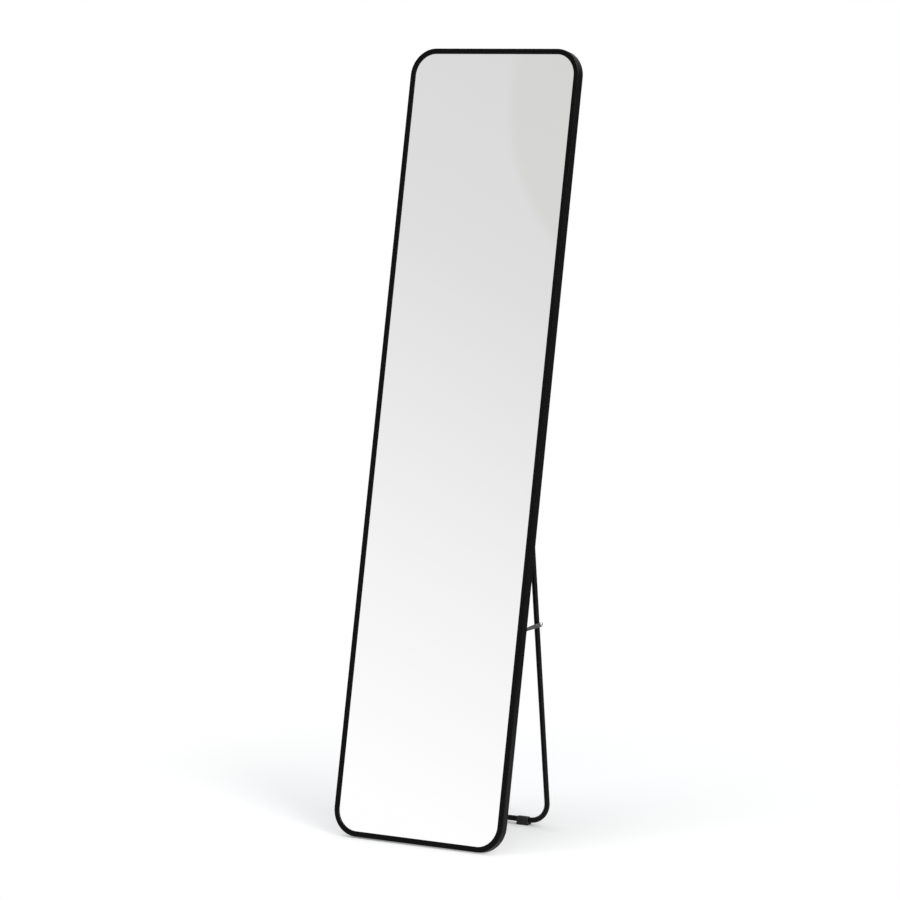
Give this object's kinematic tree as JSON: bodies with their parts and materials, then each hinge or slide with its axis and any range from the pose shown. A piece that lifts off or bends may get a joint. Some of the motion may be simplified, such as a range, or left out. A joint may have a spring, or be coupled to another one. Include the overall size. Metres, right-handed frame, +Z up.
{
  "type": "leaning floor mirror",
  "caption": "Tall leaning mirror in a slim black channel frame with rounded corners, held up by a folding U-shaped tube stand and hooked stays.",
  "frame": {"origin": "on the floor, midway between the object's extremes in X and in Y", "axes": "+X along the mirror's width to the right as one faces the glass, +Y to the rear, +Z up; the glass faces -Y"},
  "size_m": [0.39, 0.338, 1.5713],
  "materials": {
    "frame_paint": "satin black powder coat",
    "mirror_silver": "polished silvered glass",
    "tape_foam": "black closed-cell foam tape",
    "board_fibre": "dark brown hardboard",
    "setting_rubber": "matt",
    "spring_steel": "blued spring steel",
    "zinc_plate": "bright zinc plate",
    "rail_paint": "satin black powder coat",
    "bracket_paint": "satin black powder coat",
    "black_screws": "black oxide",
    "zinc_screws": "bright zinc plate",
    "nylon": "natural nylon",
    "stand_paint": "satin black powder coat",
    "foot_rubber": "matt black moulded rubber",
    "stay_zinc": "dull zinc plate"
  },
  "bodies": {
    "frame": {"frame_hoop": "frame_paint", "mirror_glass": "mirror_silver", "glazing_tape": "tape_foam", "backing_board": "board_fibre", "setting_blocks": "setting_rubber", "board_clips": "spring_steel", "seam_plate": "zinc_plate", "hinge_rail": "rail_paint", "stay_rail": "rail_paint", "seam_screws": "black_screws", "rail_screws": "black_screws", "hinge_bolts": "zinc_screws", "lock_nuts": "zinc_screws", "hinge_washers": "nylon", "stay_rivets": "zinc_screws", "hinge_bracket_left": "bracket_paint", "hinge_bracket_right": "bracket_paint", "stay_bracket_left": "zinc_plate", "stay_bracket_right": "zinc_plate"},
    "stand": {"stand_tube": "stand_paint", "foot_left": "foot_rubber", "foot_right": "foot_rubber", "stay_studs": "zinc_screws"},
    "stay_left": {"stay_left": "stay_zinc"},
    "stay_right": {"stay_right": "stay_zinc"}
  },
  "joints": [
    {"name": "stand_fold", "type": "hinge", "parent": "frame", "child": "stand", "pos_m": [0, 0.02616, 0.8089], "axis": [1, 0, 0], "range_deg": [-18.2, 0]},
    {"name": "stay_left_swing", "type": "hinge", "parent": "frame", "child": "stay_left", "pos_m": [0, -0.05682, 0.41606], "axis": [1, 0, 0], "range_deg": [-101, 0]},
    {"name": "stay_right_swing", "type": "hinge", "parent": "frame", "child": "stay_right", "pos_m": [0, -0.05682, 0.41606], "axis": [1, 0, 0], "range_deg": [-101, 0]}
  ]
}
